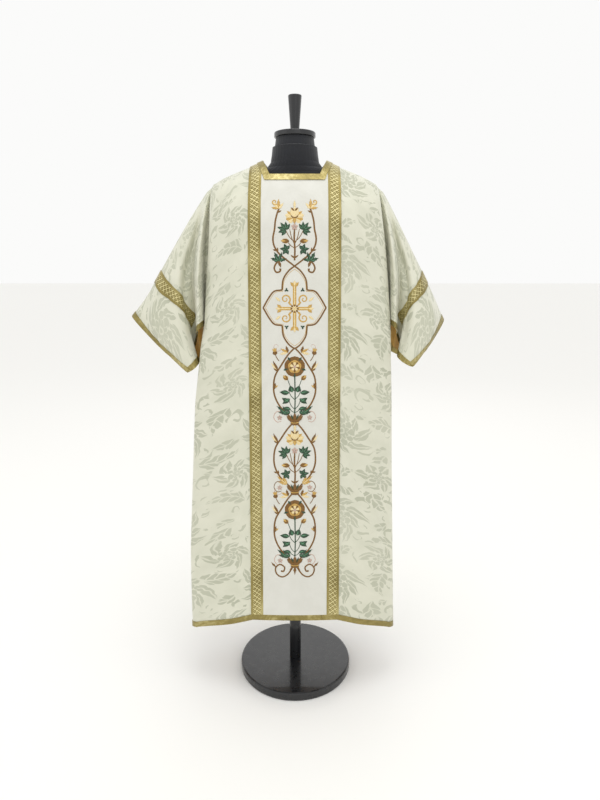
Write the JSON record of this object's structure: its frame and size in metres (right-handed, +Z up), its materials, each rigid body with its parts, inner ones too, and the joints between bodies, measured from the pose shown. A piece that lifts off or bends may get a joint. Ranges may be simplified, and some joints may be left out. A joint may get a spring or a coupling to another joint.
{
  "type": "dalmatic on limbless dress form",
  "caption": "Ivory damask dalmatic with gold galloon, plain orphrey and edge bindings, wide open sleeves and slit sides, resting on a limbless black dress form on a round stand.",
  "frame": {"origin": "middle of the underside of the stand's round base, on the floor, under the form's pole", "axes": "+Z up the form from base to neck cap, garment's front faces -Y, +X to the right of someone who looks at the front"},
  "size_m": [0.8567, 0.31, 1.583],
  "materials": {
    "ivory_damask": "woven damask, low sheen",
    "plain_ivory": "plain weave, matt",
    "gold_galloon": "woven metallic gold thread",
    "black_jersey": "stretch jersey cover, matt",
    "black_lacquer": "gloss black lacquer"
  },
  "bodies": {
    "root": {"front_panel": "ivory_damask", "back_panel": "ivory_damask", "sleeve_left": "ivory_damask", "sleeve_right": "ivory_damask", "orphrey_panel": "plain_ivory", "front_galloon_left": "gold_galloon", "front_galloon_right": "gold_galloon", "sleeve_galloon_left": "gold_galloon", "sleeve_galloon_right": "gold_galloon", "neck_binding": "gold_galloon", "cuff_binding_left": "gold_galloon", "cuff_binding_right": "gold_galloon", "hem_binding_front": "gold_galloon", "hem_binding_back": "gold_galloon", "side_binding_front_left": "gold_galloon", "side_binding_front_right": "gold_galloon", "side_binding_back_left": "gold_galloon", "side_binding_back_right": "gold_galloon", "underarm_binding_front_left": "gold_galloon", "underarm_binding_front_right": "gold_galloon", "underarm_binding_back_left": "gold_galloon", "underarm_binding_back_right": "gold_galloon", "form_body": "black_jersey", "neck_cap": "black_lacquer", "cap_handle": "black_lacquer", "stand_pole": "black_lacquer", "stand_base": "black_lacquer"}
  },
  "joints": []
}
